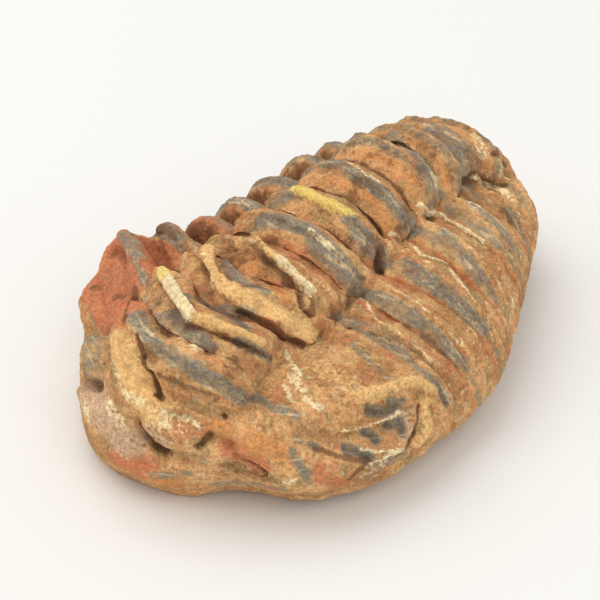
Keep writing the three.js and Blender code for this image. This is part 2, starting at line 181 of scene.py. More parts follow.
class Chart:
    """Where each vertex of a mesh is on the animal. Its foot is the nearest point of the smooth surface."""

    ROWS = np.arange(-5, 11.61, 0.1)
    COLUMNS = np.linspace(-1, 1, 97)

    def __init__(self, points, normals):
        grid = skin(self.ROWS[:, None], self.COLUMNS[None, :])
        across = grid[..., 0] + CENTRE[0] - section(self.ROWS, MIDDLE)[:, None, 0]
        wide = len(self.COLUMNS)
        flat = grid.reshape(-1, 3)
        known = np.stack(
            [np.repeat(self.ROWS, wide), np.tile(self.COLUMNS, len(self.ROWS)), across.reshape(-1)], -1)
        quads = [
            [r * wide + c, r * wide + c + 1, (r + 1) * wide + c + 1, (r + 1) * wide + c]
            for r in range(len(self.ROWS) - 1) for c in range(wide - 1)
        ]
        tree = BVHTree.FromPolygons([Vector(p) for p in flat], quads)
        self.points, self.foot = points, np.zeros_like(points)
        found, facing = np.zeros_like(points), np.zeros_like(points)
        for i, point in enumerate(points):
            foot, facing[i], face, _ = tree.find_nearest(Vector(point))
            weights = np.array(poly_3d_calc([Vector(flat[k]) for k in quads[face]], foot))
            found[i] = weights @ known[quads[face]]
            self.foot[i] = foot
        self.at, out, self.across = found.T
        self.reach = np.abs(out)
        self.top = smooth(*UPPER_SIDE, np.einsum("ij,ij->i", facing, normals))
        self.half = section(self.at, LOBE)[:, 0]
        stops, counts = np.array(RIGHT_RIBS, float).T
        self.rib = through(stops, counts[:, None], self.at)[:, 0]

    def gap(self, path):
        """Millimetres from each vertex's foot to a path of (at, across) pairs."""
        stops = places(path)
        nearest = np.full(len(self.foot), np.inf)
        for start, end in zip(stops[:-1], stops[1:]):
            leg = end - start
            t = np.clip((self.foot - start) @ leg / (leg @ leg), 0, 1)
            nearest = np.minimum(nearest, np.linalg.norm(self.foot - (start + t[:, None] * leg), axis=1))
        return nearest

    def drift(self, name):
        """One of the soft noises, from about -0.5 to 0.5."""
        size, seed = DRIFTS[name]
        shift = Vector((seed * 31.7, seed * 17.3, seed * 7.9))
        return np.array([noise.noise(Vector(p) / size + shift) for p in self.points])


# ---- Fine relief: millimetres added to the solid along its own normals ----

# The solid's own waves of rings and ribs, which the finer profiles below take the place of.
RING_SHAPE = 3.2
RING_HEIGHT = 1.4
RIB_HEIGHT = 1.25
# Phase along one ring or rib, from the furrow in front to the furrow behind, and millimetres of height.
RING_PROFILE = (
    (-0.5, -0.5), (-0.4, -0.1), (-0.25, 0.3), (-0.12, 0.6), (0, 1.15), (0.1, 1.3), (0.18, 1), (0.3, 0.2),
    (0.4, -0.3), (0.46, -0.8), (0.5, -0.5),
)
RIB_PROFILE = (
    (-0.5, -0.65), (-0.44, -0.9), (-0.37, -0.1), (-0.2, 0.5), (0, 0.8), (0.06, 1.15), (0.12, 0.75),
    (0.3, 0.2), (0.42, -0.3), (0.5, -0.65),
)
# The dips between the knobs on the left, and the clay that fills the axial furrows.
LEFT_SADDLE = {"width": 0.13, "height": -0.6}
AXIAL_FILL = {"width": 1.6, "height": 0.45}
# Where along the body, or how far out to its edge, the relief runs in or out.
FIRST_RING = (-0.5, 0.2)
LAST_RING = (10.6, 11.5)
RIB_ENDS = (0.84, 1)
RIGHT_RIBS_FROM = (1.9, 3.1)
LEFT_RIBS_FROM = (2.3, 3.1)
LOBE_EDGE = 0.7
PLATE_EDGE = 0.22
# Wear: how far the rings wander, how the relief's height varies, and how ragged the forms' edges are.
WANDER = 0.12
WORN_HEIGHT = {"mean": 0.85, "swing": 0.8, "least": 0.3, "most": 1.2}
COARSE_RAGS = 0.7
FINE_RAGS = 0.4

# Each form is a path of (at, across) pairs, then its half width and its height in millimetres. A swell and
# a cut are rounded, and a blade or plate of shell has steep broken edges and a flat top.
SWELLS = {
    "crest of ring 3": ((3.3, -3), (3.02, 1.7), (2.9, 4), (2.76, 7.9), 0.7, 0.4),
    "ridge before ring 1": ((0.6, -7.6), (0.56, -4.3), (0.58, -0.8), (0.4, 3.1), 0.6, 0.4),
    "cheek ridge": ((0.54, 21.7), (0.78, 22.5), (1.04, 23.1), (1.18, 24), (1.24, 25.9), 0.6, 0.7),
    "rim of the eye": ((0.7, 26.2), (-0.2, 26.9), (-1.12, 28.8), (-2.56, 32.9), 0.6, 0.6),
    "ridges of the cheek": ((-1.08, 23.2), (-1, 24.3), (-0.46, 25.1), (-0.12, 25.2), 0.35, 0.35),
    "lower ridge of the cheek": ((-1.68, 27.4), (-1.88, 29.3), (-2.2, 31.5), 0.35, 0.35),
    "grey lobe": ((-1.38, -10), (-1.7, -7.6), (-1.86, -6), 1.3, 1.1),
    "low lobe": ((-3, -6.7), (-2.6, -4.2), 1.4, 1.1),
    "bulge of the face": ((-2.3, 0.4), (-2.5, 3.4), 2.4, 0.35),
    "lower bulge": ((-3.4, 3.4), (-3.44, 8.5), 1.8, 0.4),
    "oval lobe": ((-1.7, 6.4), (-1.8, 9.2), (-1.6, 11), 1.5, 0.3),
    "ledge over the oval lobe": ((-1.12, 2.4), (-1.2, 5), (-1.14, 8), (-1.2, 10.7), 0.6, 0.35),
    "knob 1": ((1.26, -22.5), (1.08, -18.9), (0.9, -14.9), 0.9, 0.9),
    "knob 2": ((2.72, -18.6), (2.64, -14.4), 0.9, 0.8),
    "knob 3": ((3.78, -17.3), (3.88, -13.1), 1.1, 0.5),
    "knob 4": ((4.96, -14.6), (4.98, -12), 1.1, 0.5),
    "low ridge of the face": ((-2.1, 27.6), (-3.1, 31.2), 0.6, 0.3),
    "orange swelling of the face": ((-1.34, 12.6), (-1.5, 17.2), (-1.68, 19.1), 1.3, 0.3),
}
BLADES = {
    "blade 1": ((0.99, -5.8), (0.94, -3.8), (0.94, -0.8), (0.88, 1.6), 0.75, 0.7),
    "ridge behind blade 1": ((0.88, 1.6), (0.96, 4.8), (1.02, 6.8), (1.14, 9.4), 0.5, 0.45),
    "blade 2": ((2.16, -5.2), (1.94, -1.3), (1.88, 0.8), (1.78, 2.8), (1.7, 5), 0.85, 0.75),
    "wide end of blade 2": ((1.74, 4.6), (1.68, 7), (1.66, 9), (1.7, 11.4), 1.0, 0.5),
}
PLATES = {
    "block of the rear border": ((-0.36, -7), (-0.66, -5), (-0.9, -2.4), (-1.14, 0.4), 1.5, 0.4),
    "flakes below the rings": ((1.26, 11.9), (0.94, 14.7), 0.4, 0.3),
    "flake beside them": ((0.96, 13.8), (0.64, 15.5), (0.26, 16.9), 0.35, 0.3),
    "flake of ring 1": ((0.34, 4.5), (0.4, 5.4), 0.5, 0.3),
    "yellow crust of ring 5": ((5.18, -4.1), (5.06, -0.9), (5.08, 0.8), (5.1, 4.6), 0.95, 0.35),
    "cream edge of ring 3": ((3.3, -3), (3.02, 0.9), (2.92, 3.4), (2.8, 7.6), 0.4, 0.24),
    "cream edge of rib 5": (
        (6.7, 8.3), (6.94, 9.3), (7.4, 9.6), (7.32, 12), (7.4, 16.3), (7.2, 20), 0.26, 0.22),
    "cream edge of rib 4": (
        (5.72, 8.7), (6, 9.6), (5.7, 13.1), (6.02, 15.7), (5.6, 20.3), (5.3, 25), 0.2, 0.18),
    "pale edge of rib 3": ((4.3, 13.4), (4.22, 18.1), (4.24, 24.1), 0.18, 0.2),
    "pale edge of rib 2": ((3.66, 11.4), (3.32, 15.4), (3.28, 22.7), 0.18, 0.2),
    "outer band of the cheek": ((1.08, 25.9), (0.6, 27.3), (-0.22, 28), (-1.34, 30.1), 0.8, 0.3),
}
CUTS = {
    "before blade 1": (
        (0.8, -5.8), (0.76, -3.8), (0.76, -0.8), (0.7, 1.8), (0.8, 5.1), (0.88, 7.6), (0.94, 9.3),
        (1.06, 10.6), 0.4, 0.6),
    "behind blade 1": ((1.18, -5.8), (1.14, -3), (1.14, 0), (1.1, 1.6), 0.5, 0.8),
    "tip of blade 1": ((0.98, -7.9), (1.04, -7.6), 0.9, 1.1),
    "before blade 2": ((1.62, 4.2), (1.54, 7.3), (1.5, 9.6), (1.56, 11.6), 0.36, 0.8),
    "left part before blade 2": ((1.92, -5.4), (1.68, -1.3), (1.64, 0.8), (1.56, 2.8), 0.45, 0.65),
    "behind blade 2": ((2.42, -5.6), (2.2, -1.3), (2.14, 0.8), (2.04, 2.8), 0.5, 0.7),
    "tip of blade 2": ((2.4, -7.2), (2.2, -7.4), 0.9, 1.2),
    "front of ring 3": ((3.1, -1.4), (2.9, 1.4), (2.78, 4), (2.66, 6.4), (2.6, 8), 0.35, 0.5),
    "hole before ring 3": ((2.3, 7.6), (2, 8.9), (1.94, 10.2), 0.45, 0.9),
    "crack of the border": (
        (0, -2.4), (-0.12, -1.4), (-0.4, -0.5), (-0.6, 1.7), (-0.8, 2.8), (-0.98, 4), 0.2, 0.8),
    "pit of the border": ((-0.96, 3.6), (-1.04, 4.3), 0.35, 0.6),
    "face crack": ((-2.24, 19.2), (-2.32, 20.5), (-2.42, 21.3), (-2.6, 22.5), (-2.88, 22.5), 0.16, 0.6),
    "pit of the face": ((-0.98, 11.7), (-1, 12), 0.28, 0.5),
    "moat left of the oval lobe": ((-2.12, 5.5), (-2.36, 7), (-2.68, 8.8), (-2.82, 10.2), 0.5, 0.9),
    "moat right of it": ((-2.06, 13.3), (-1.88, 13.4), (-1.6, 13), 0.5, 0.8),
    "furrow of the face": ((-1.74, 16), (-2.14, 17.9), 0.6, 0.4),
    "cheek hollow 1": ((-0.16, 22.8), (-0.14, 24), (0.1, 24.6), 0.4, 0.45),
    "cheek hollow 2": ((0.44, 23.7), (0.6, 24.7), 0.35, 0.4),
    "cheek hollow 3": ((-1.12, 25.1), (-1.22, 26.2), (-1.42, 27.3), 0.5, 0.45),
    "cheek hollow 4": ((-0.82, 25.7), (-0.7, 26.2), (-1.2, 27.9), 0.5, 0.4),
    "cheek hollow 5": ((-1.6, 26), (-1.74, 27.4), (-1.9, 28.4), (-2.14, 29.6), 0.5, 0.5),
    "groove inside the rim": (
        (0.42, 25.9), (-0.46, 26.8), (-1.2, 28.5), (-1.96, 31.1), (-2.7, 32.3), 0.25, 0.4),
    "groove behind the cheek": ((1.9, 22), (1.5, 25), (1.24, 27.4), 0.6, 0.6),
    "notch between the lobes": ((-2.7, -7.8), (-2.34, -5.8), (-1.96, -3.8), 0.55, 1.5),
    "groove behind the border": ((-0.1, -6.4), (0, -8), (0.1, -10), (0.3, -13), 0.6, 0.8),
    "step before knob 1": ((0.5, -25), (0.7, -21.7), (0.66, -18.5), 0.8, 1.0),
    "saddle behind knob 1": ((1.9, -22.5), (1.9, -17.2), (1.8, -13), 0.9, 0.8),
    "saddle behind knob 2": ((3.28, -18.5), (3.2, -13), 0.7, 0.9),
    "axial pit 2": ((2.8, -4.9), (2.76, -3.7), 0.4, 0.5),
    "axial pit 3": ((3.74, -6), (3.68, -5.1), 0.4, 0.5),
    "red line of ring 4": ((4.52, 1), (4.5, 4), (4.44, 7.5), (4.5, 9.6), 0.28, 0.4),
    "tail furrow": ((8.82, 7.9), (9.72, 8.4), (9.9, 9.2), 0.5, 0.5),
    "pit of rib 5": ((6.82, 9.6), (6.9, 9.5), 0.5, 0.8),
    "pit of rib 6": ((8.9, 8.1), (8.7, 8.2), 0.5, 0.7),
    "pit of rib 3": ((4.88, 10.4), (5, 9.4), 0.4, 0.6),
    "pit of rib 2": ((3.3, 11.1), (3.4, 11), 0.4, 0.6),
}
# The path of each of these forms, for the stains that follow it.
RUNS = {name: form[:-2] for forms in (SWELLS, BLADES, PLATES, CUTS) for name, form in forms.items()}


def wrapped(count):
    """From -0.5 in the furrow before a ring, through 0 on its crest, to 0.5 in the furrow behind."""
    return count - np.round(count)


def profile(phase, stops):
    where, height = zip(*stops)
    return np.interp(phase, where, height)


def solid_wave(count):
    return 1 - 2 * np.abs(np.sin(np.pi * count)) ** RING_SHAPE


def zones(chart):
    """How far each vertex belongs to the axial rings and to the ribs of the right and left flanks."""
    present = smooth(*FIRST_RING, chart.at) * (1 - smooth(*LAST_RING, chart.at)) * chart.top
    axial = 1 - smooth(-LOBE_EDGE, LOBE_EDGE, np.abs(chart.across) - chart.half)
    right = (1 - axial) * (chart.across > 0) * smooth(*RIGHT_RIBS_FROM, chart.at)
    left = (1 - axial) * (chart.across < 0) * smooth(*LEFT_RIBS_FROM, chart.at)
    return axial * present, right * present, left * present


def phases(chart):
    """Phase of the rings and of the right ribs, a little uneven as real wear makes them."""
    shift = WANDER * chart.drift("wander")
    return wrapped(chart.at + shift), wrapped(chart.rib + shift)


def rounded(gap, width):
    return bell(gap, 0, width)


def sheer(gap, width):
    return 1 - smooth(-PLATE_EDGE, PLATE_EDGE, gap - width)


def fine_relief(chart, shape):
    """Millimetres to raise each vertex of the solid's surface."""
    axial, right, left = zones(chart)
    ring, rib = phases(chart)
    ends = 1 - smooth(*RIB_ENDS, chart.reach)
    worn = WORN_HEIGHT["mean"] + WORN_HEIGHT["swing"] * chart.drift("wear")
    worn = np.clip(worn, WORN_HEIGHT["least"], WORN_HEIGHT["most"])
    rings = profile(ring, RING_PROFILE) - RING_HEIGHT * solid_wave(chart.at)
    ribs = profile(rib, RIB_PROFILE) - RIB_HEIGHT * solid_wave(chart.rib)
    saddles = LEFT_SADDLE["height"] * bell(np.abs(ring), 0.5, LEFT_SADDLE["width"])
    height = (axial * rings + right * ends * ribs) * worn + left * saddles
    height *= shape.ring_relief / MM
    beside = bell(np.abs(chart.across), chart.half, AXIAL_FILL["width"])
    height += chart.top * smooth(*FIRST_RING, chart.at) * AXIAL_FILL["height"] * beside
    ragged = COARSE_RAGS * chart.drift("coarse rags") + FINE_RAGS * chart.drift("fine rags")
    # The forms, their outline, how ragged it is, and the share of their height.
    for forms, outline, raggedness, share in (
        (SWELLS, rounded, 0.4, 1),
        (BLADES, sheer, 0.35, 1),
        (PLATES, sheer, 0.3, 1),
        (CUTS, rounded, 0.3, -shape.crack_depth),
    ):
        for *path, width, rise in forms.values():
            height += share * rise * chart.top * outline(chart.gap(path) + raggedness * ragged, width)
    return height


# ---- Stains: how much of each mineral, and of the umber of painted shade, shows at each vertex ----

# A stain is whole inside the first share of its half width, and gone at the second.
STAIN_EDGE = (0.3, 1.5)
# Share of the bands that the shell's own colours hide.
HIDDEN = 0.85
# Bands of every ring or rib: mineral, area, phase that it follows, middle and half width, and strength.
BANDS = (
    ("slate", "rear rings", "ring", -0.02, 0.17, 0.6),
    ("slate", "right", "rib", -0.24, 0.12, 0.55),
    ("slate", "left", "ring", 0, 0.2, 0.5),
    ("slate", "rear left", "ring", 0.1, 0.2, 0.6),
    ("orange", "rings, more to the rear", "ring", -0.3, 0.12, 0.45),
    ("orange", "right", "rib", -0.44, 0.07, 0.7),
    ("orange", "left", "ring", -0.35, 0.2, 0.5),
    # Umber bands: painted shade in the furrows between the rings and ribs and between the left knobs, and a
    # darker front slope on each left knob.
    ("umber_and_shade", "rings", "off ring", 0.5, 0.05, 0.7),
    ("umber_and_shade", "left", "off ring", 0.5, 0.05, 0.7),
    ("umber_and_shade", "left", "ring", -0.3, 0.15, 0.7),
    ("umber_and_shade", "right", "off rib", 0.5, 0.05, 0.35),
    ("cream", "right", "rib", 0.05, 0.04, 0.3),
    ("brick", "right", "rib", -0.46, 0.08, 0.5),
    ("brick", "rings, less to the rear", "off ring", 0.5, 0.2, 0.6),
)
# Where along the body the bands' areas begin or end, and by how much a band that fades does so.
SECOND_RING = (0.5, 1.5)
REAR = (3, 6)
REAR_KNOBS = (4, 5)
RED_FADES = (5, 8)
FADE = 0.6
# The left cheek's edge across the body, and its front and back along it.
CHEEK_SIDE = (-10.5, -13.5)
CHEEK_FRONT = (-2, -1.3)
CHEEK_BACK = (2.1, 2.5)
# Strengths of what spreads in patches, and the noise at which those patches begin and are whole.
AXIS_UMBER = 0.4
FLANK_RED = 0.6
CHEEK_RED = 0.9
UMBER_PATCHES = (-0.2, 0.4)
RED_PATCHES = (-0.4, 0.3)

# Each stain is a path of (at, across) pairs, then its half width in millimetres and its strength.
ORANGE = (
    # rings
    ((0.48, -1.1), (0.48, 3.4), (0.44, 5.6), (0.26, 8.2), 0.9, 0.6),
    ((2.7, -2.5), (2.66, 0.9), (2.5, 3.7), (1.98, 7), 1, 0.7),
    ((3.52, -3), (3.54, 1.4), (3.5, 5.4), (3.48, 9.7), 0.9, 0.6),
    ((5.7, -2), (5.7, 2), (5.7, 5.4), (5.7, 7.6), (5.98, 9.6), 0.9, 0.6),
    ((6.72, -2), (6.7, 1.5), (6.72, 5.2), (6.74, 6.5), 0.9, 0.6),
    # head
    ((-0.54, 0), (-0.74, 1.7), (-0.82, 4), 1.1, 0.7),
    ((-2.9, -4.6), (-2.8, -2), 1.2, 0.7),
    ((-3.4, 3.4), (-3.36, 6.2), (-3.44, 8.5), 1.8, 0.6),
    (*RUNS["orange swelling of the face"], 1.5, 0.6),
    ((-3.68, 9.2), (-3.72, 11.5), 1.3, 0.8),
    ((-1.54, 17.2), (-1.64, 19.3), (-1.74, 21.1), 1.4, 0.85),
)
BRICK = (
    # rings
    ((3.4, 1), (3.3, 4), (3.26, 7), (3.3, 9.4), 0.9, 0.6),
    ((4.5, 1), (4.5, 4), (4.44, 7.5), (4.5, 9.6), 0.6, 0.8),
    # right ribs
    ((4.7, 9.6), (4.6, 12), (4.6, 15), 0.9, 0.7),
    ((3.6, 10.4), (3.5, 13), (3.5, 16), 0.8, 0.6),
    # head
    ((-3.6, 5), (-3.6, 8), 1.2, 0.4),
    ((-1.7, 17), (-2.1, 19.6), 1, 0.5),
    ((-3.36, 3.8), (-3.4, 6.2), (-3.16, 8.9), 1.5, 0.75),
    ((-1.92, 16.6), (-2.2, 19.3), (-2.3, 21.4), 1.5, 0.8),
    # right cheek
    ((-2.48, 26.7), (-2.92, 28.3), (-3.62, 28.9), 1.2, 0.6),
    # left side
    ((-0.24, -19.7), (0.5, -18.5), (0.68, -14.6), 3.2, 1),
    ((-0.76, -16.4), (-0.3, -13), (0.2, -9), (0.1, -6.5), 2.6, 1),
    ((1.6, -20), (1.6, -14), 2, 0.9),
    ((3.86, -15.8), (3.84, -13.1), 1.4, 0.9),
    ((2.2, -17), (2.2, -11.5), 1.3, 0.8),
)
SLATE = (
    # rings
    (*RUNS["ridge before ring 1"], 0.6, 0.6),
    ((0.74, -1.4), (0.74, 0.8), (0.66, 2.5), (0.66, 4.2), (0.62, 6.2), 0.9, 0.8),
    ((0.9, 7.8), (0.96, 9.6), (1.08, 11), 0.7, 0.9),
    ((1.14, -0.8), (1.4, 0.6), (1.5, 2.3), (1.4, 4.8), (1.24, 7), 1.1, 0.9),
    ((1.6, 2.6), (1.6, 5.9), 0.7, 0.8),
    ((2.5, -3.5), (2.26, 0.8), (2.1, 2.8), (2, 4.8), 1, 0.85),
    ((3.8, -4.6), (3.98, 2), (3.9, 4.3), (3.8, 6.5), (3.84, 10.5), 1.4, 0.9),
    ((4.98, 4.6), (4.9, 6.4), (4.86, 8.1), (5, 10), 1.2, 0.95),
    ((4.78, -7.1), (4.82, -4.5), 1.1, 0.7),
    ((6.3, -5), (6.06, -2.3), (5.98, 0), (5.98, 3.2), (6, 7.2), (6.32, 9.6), 1.1, 0.95),
    ((7.66, -3), (7.5, 0), (7.2, 3.8), (7.1, 6.3), (7.52, 8.8), 1.1, 0.85),
    ((8.74, 0), (8.66, 4.6), (8.64, 8.3), 1.2, 0.9),
    ((10.2, 1), (10.3, 5.6), 1.2, 0.7),
    # right ribs
    ((1.72, 15.5), (1.34, 20), (1.06, 22.8), 0.7, 0.5),
    ((2.8, 11.6), (2.8, 13.9), (2.06, 17.5), (1.98, 20.3), (1.56, 23.1), (1.24, 27.3), 1.1, 0.72),
    ((3.92, 11.4), (3.92, 17.6), (3.9, 21.9), (4, 25.8), 1, 0.72),
    ((5.22, 12.5), (5.14, 14.8), (5.12, 17.8), (5.08, 22.6), (5.16, 24.8), 1.1, 0.74),
    ((6.6, 13), (6.46, 17.5), (6.4, 19.9), (6.34, 23), 1, 0.7),
    ((8, 11.3), (7.9, 13.2), (7.9, 17.7), (8.02, 19.5), 1, 0.7),
    ((8.9, 13.9), (8.9, 15.9), (8.7, 18.9), 0.9, 0.7),
    # head
    (
        (0.18, -5.4), (0.18, -2.7), (0.14, -0.3), (0, 2.3), (-0.04, 4.5), (-0.14, 7.1), (-0.14, 9.6), (-0.18,
        11.9), 1.1, 0.8),
    ((-1.14, -9.8), (-1.48, -7.9), (-1.7, -6.7), 2, 0.6),
    ((-1.3, 6), (-1.24, 7.6), (-1.3, 9.6), 0.5, 0.45),
    ((-3.56, 8.9), (-3.4, 11.6), (-3.28, 14), 0.8, 0.55),
    ((-2.12, 14), (-2.62, 15.5), 1.2, 0.35),
    ((-3.7, 16), (-3.7, 20), (-3.5, 24), 1, 0.5),
    ((0.1, 12.4), (-0.08, 13.6), (-0.38, 15.3), (-0.52, 16.8), (-0.72, 18.1), 0.8, 0.7),
    # right cheek
    ((-1.66, 21.8), (-2.14, 24.4), (-2.98, 26.7), 0.6, 0.7),
    ((-0.16, 22.8), (-0.14, 24), (0.12, 24.6), 0.75, 1),
    (*RUNS["cheek hollow 2"], 0.5, 0.9),
    (*RUNS["cheek hollow 3"], 0.85, 1),
    (*RUNS["cheek hollow 4"], 0.85, 1),
    (*RUNS["cheek hollow 5"], 0.85, 1),
    ((-1.5, 22.6), (-1.6, 23.9), 0.6, 0.9),
    ((-1.42, 21), (-1.44, 21.6), 0.5, 0.8),
    ((-2.2, 24.5), (-2.36, 25.8), 0.5, 0.6),
    ((-3.32, 30.8), (-3.04, 31.5), (-2.8, 32.6), 1.2, 0.55),
    # left side
    ((1.26, -21.5), (1.08, -18.9), (0.9, -14.9), (0.78, -12.7), 0.7, 0.75),
    ((2.72, -19), (2.64, -14.4), 1.1, 1),
    ((3.3, -12.6), (3.1, -9.5), 1.1, 0.9),
    ((4.96, -14.4), (4.98, -12), 0.9, 0.5),
)
# Umber strokes: painted shade in dark brown, laid in the cuts, pits, cracks, moats, saddles and grooves and
# at the blades' edges.
UMBER_SHADE = (
    # rings
    ((0.72, 2), (0.8, 5.1), (0.88, 7.6), (0.92, 9.3), (1.1, 11), 0.4, 0.7),
    ((1.62, 4.2), (1.56, 7.3), (1.54, 9.6), (1.6, 11.6), 0.45, 1),
    ((2.72, -5), (2.7, -3), (2.68, -1.3), 0.9, 0.6),
    ((3.08, -1.4), (2.88, 1.4), (2.76, 4), (2.62, 6.4), (2.56, 8.2), (1.94, 10.2), 0.4, 0.8),
    (*RUNS["hole before ring 3"], 0.6, 0.9),
    ((8.5, 3), (8.3, 5.6), (8.5, 8.2), 0.6, 0.6),
    ((9.9, 6.2), (10.84, 6.1), 0.5, 0.8),
    (*RUNS["tail furrow"], 0.7, 0.8),
    (*RUNS["pit of rib 5"], 1, 0.9),
    (*RUNS["pit of rib 6"], 0.9, 0.9),
    ((4.88, 10.4), (5, 9.2), 0.9, 0.8),
    # right ribs
    ((8.74, 13.6), (8.72, 16.2), 0.6, 0.7),
    (*RUNS["pit of rib 2"], 0.8, 0.8),
    # head
    ((-0.5, 2.6), (-0.5, 4.9), (-0.54, 7.4), (-0.58, 9.7), 0.6, 0.6),
    ((0, -2.4), (-0.4, -0.5), (-0.6, 1.7), (-0.8, 2.8), (-0.98, 4.1), 0.28, 1),
    ((-0.94, 3.6), (-1.02, 4.3), 0.5, 0.9),
    (*RUNS["moat left of the oval lobe"], 0.5, 0.85),
    (*RUNS["moat right of it"], 0.5, 0.8),
    (*RUNS["pit of the face"], 0.4, 0.9),
    ((-2.34, 6.6), (-2.5, 8.8), (-2.8, 10.6), 1.1, 0.5),
    # right cheek
    (*RUNS["face crack"], 0.22, 1),
    ((-2.82, 18.4), (-2.9, 21.4), (-2.9, 24), 1.4, 0.5),
    ((-1.6, 23.5), (-1.74, 25.4), (-1.9, 27.1), (-2.3, 30), 0.4, 0.8),
    ((-3.2, 29.8), (-2.6, 29.8), (-2.4, 30.3), 0.4, 0.8),
    (*RUNS["groove inside the rim"], 0.3, 0.8),
    # left side
    ((-0.76, -21.1), (-0.7, -20.6), 0.9, 0.7),
    ((-0.26, -16.7), (0.08, -14.9), 0.6, 0.6),
    ((-0.02, -6.2), (0.12, -9), (0.4, -13), (0.5, -13.6), 0.7, 0.8),
    ((2.7, -18.2), (2.64, -15), 0.7, 0.8),
    ((3.7, -18.6), (3.7, -16.4), 0.9, 0.9),
)
OCHRE = (
    # rings
    ((0.9, 1.6), (0.96, 4.8), (1.02, 6.8), (1.14, 9.4), 0.8, 0.9),
    (*RUNS["blade 2"], 0.95, 0.8),
    ((1.8, 4.6), (1.74, 7), (1.72, 9), (1.76, 11.6), 1.15, 0.85),
    ((3.26, -1.6), (3.02, 1.7), (2.92, 4), 0.55, 0.9),
    # head
    ((-0.1, -5.6), (-0.4, -4), (-0.62, -1.3), (-0.9, 1.2), (-1.1, 3.5), (-1.3, 5.4), 2.2, 0.95),
    ((1.2, 14.7), (0.94, 18.6), (0.52, 21.9), 1.6, 0.5),
    # right cheek
    (*RUNS["cheek ridge"], 0.8, 0.8),
    (*RUNS["rim of the eye"], 0.8, 0.8),
    # left side
    ((2.3, -15.6), (2.2, -13), 0.9, 0.7),
)
VIOLET = (
    # head
    ((-2.64, -5.8), (-2.3, -3.3), (-2.2, -0.2), (-2.52, 3), (-2.66, 5.4), 2.6, 0.8),
    ((-1.9, 6.8), (-2.1, 9.5), 1.3, 0.6),
    # right cheek
    ((-0.46, 25.9), (-0.9, 27.3), (-1.42, 28.9), 0.8, 0.7),
)
CREAM = (
    # rings
    ((0.99, -5.8), (0.94, -3.8), (0.94, -0.8), (0.88, 1.4), 0.9, 1),
    ((2.06, -5.4), (1.9, -3), (1.8, -0.6), 0.35, 0.6),
    ((2.96, 3), (2.9, 4.6), (2.8, 6.5), (2.76, 7.9), 0.6, 0.8),
    ((0.34, 4.6), (0.4, 5.2), 0.6, 0.8),
    ((4, 2.9), (3.96, 4), (3.88, 6), 0.5, 0.7),
    ((6.2, -1.4), (6.08, 1.9), (6.1, 4), 0.4, 0.6),
    ((9.9, 2.6), (9.74, 5), (9.7, 6.1), 0.6, 0.5),
    # right ribs
    (*RUNS["pale edge of rib 2"], 0.3, 0.55),
    ((4.3, 13.8), (4.22, 18.1), (4.24, 24.1), 0.28, 0.6),
    ((5.72, 8.7), (6, 9.6), (5.7, 13.1), (6.02, 15.7), (5.54, 20.3), (5.28, 26), 0.32, 0.7),
    ((6.7, 8.3), (6.94, 9.3), (7.4, 9.4), (7.34, 13.2), (7.4, 16.3), (6.88, 23.8), 0.4, 0.85),
    ((8.86, 8), (9.8, 8.9), (9.66, 12.4), (9.16, 15.1), 0.45, 0.7),
    # head
    ((-1, -6.6), (-0.86, -1.8), (-1.14, 0.9), (-1.26, 3.3), 0.55, 0.6),
    ((-1.9, 0.4), (-2.18, 2.9), 0.9, 0.5),
    ((-3, -5), (-2.7, -1.5), 1.2, 0.4),
    ((-1.46, 5.8), (-1.5, 7.4), (-1.48, 8.9), (-1.42, 10.4), 1.1, 0.4),
    ((1.32, 11.6), (0.94, 14.7), 0.45, 0.8),
    ((0.62, 14.1), (0.34, 15.2), (0.02, 16.1), 0.35, 0.9),
    ((0.16, 16.9), (0, 17.8), (-0.22, 19), 0.5, 0.8),
    ((0.92, 14.1), (0.7, 15.2), (0.46, 16.3), 0.7, 0.6),
    # right cheek
    ((-3.3, 30.7), (-3.1, 31.9), 0.9, 0.45),
    (*RUNS["ridges of the cheek"], 0.22, 0.6),
    (*RUNS["lower ridge of the cheek"], 0.22, 0.7),
    ((-2.6, 30.3), (-2.3, 31), (-2.34, 31.8), 0.22, 0.6),
    ((-2.92, 24.6), (-2.78, 25.1), 0.6, 0.7),
)
SULPHUR = (
    # rings
    ((1, -6.4), (0.96, -4.7), 0.75, 0.8),
    ((5.18, -3.9), (5.06, -0.9), (5.08, 0.8), (5.06, 2.5), (5.14, 4.2), 1.15, 1),
    # head
    ((0.94, 19.5), (0.76, 20.3), 0.5, 0.5),
)
STAINS = {
    "orange": ORANGE, "brick": BRICK, "slate": SLATE, "umber_and_shade": UMBER_SHADE, "ochre": OCHRE, "violet": VIOLET,
    "cream": CREAM, "sulphur": SULPHUR,
}


def bands(chart):
    """Cover of the minerals that repeat with the rings and ribs, or spread over the axis, flank and cheek,
    with the umber bands as painted shade.
    """
    axial, right, left = zones(chart)
    ring, rib = phases(chart)
    rear = smooth(*REAR, chart.at)
    areas = {
        "rings": axial,
        "rear rings": axial * rear,
        "rings, more to the rear": axial * (1 - FADE * (1 - rear)),
        "rings, less to the rear": axial * (1 - FADE * rear) * smooth(*SECOND_RING, chart.at),
        "right": right, "left": left, "rear left": left * smooth(*REAR_KNOBS, chart.at),
    }
    along = {"ring": ring, "rib": rib, "off ring": np.abs(ring), "off rib": np.abs(rib)}
    cover = {mineral: np.zeros(len(chart.at)) for mineral in STAINS}
    for mineral, area, phase, middle, width, strength in BANDS:
        cover[mineral] += strength * areas[area] * bell(along[phase], middle, width)
    cheek = smooth(*CHEEK_SIDE, chart.across) * smooth(*CHEEK_FRONT, chart.at)
    red_flank = left * (1 - FADE * smooth(*RED_FADES, chart.at))
    # Umber patches over the axis: a dark stain of the stone, spread at random.
    cover["umber_and_shade"] += AXIS_UMBER * axial * smooth(*UMBER_PATCHES, chart.drift("umber_and_shade"))
    cover["brick"] += FLANK_RED * red_flank * smooth(*RED_PATCHES, chart.drift("red"))
    cover["brick"] += CHEEK_RED * cheek * (1 - smooth(*CHEEK_BACK, chart.at)) * chart.top
    return cover


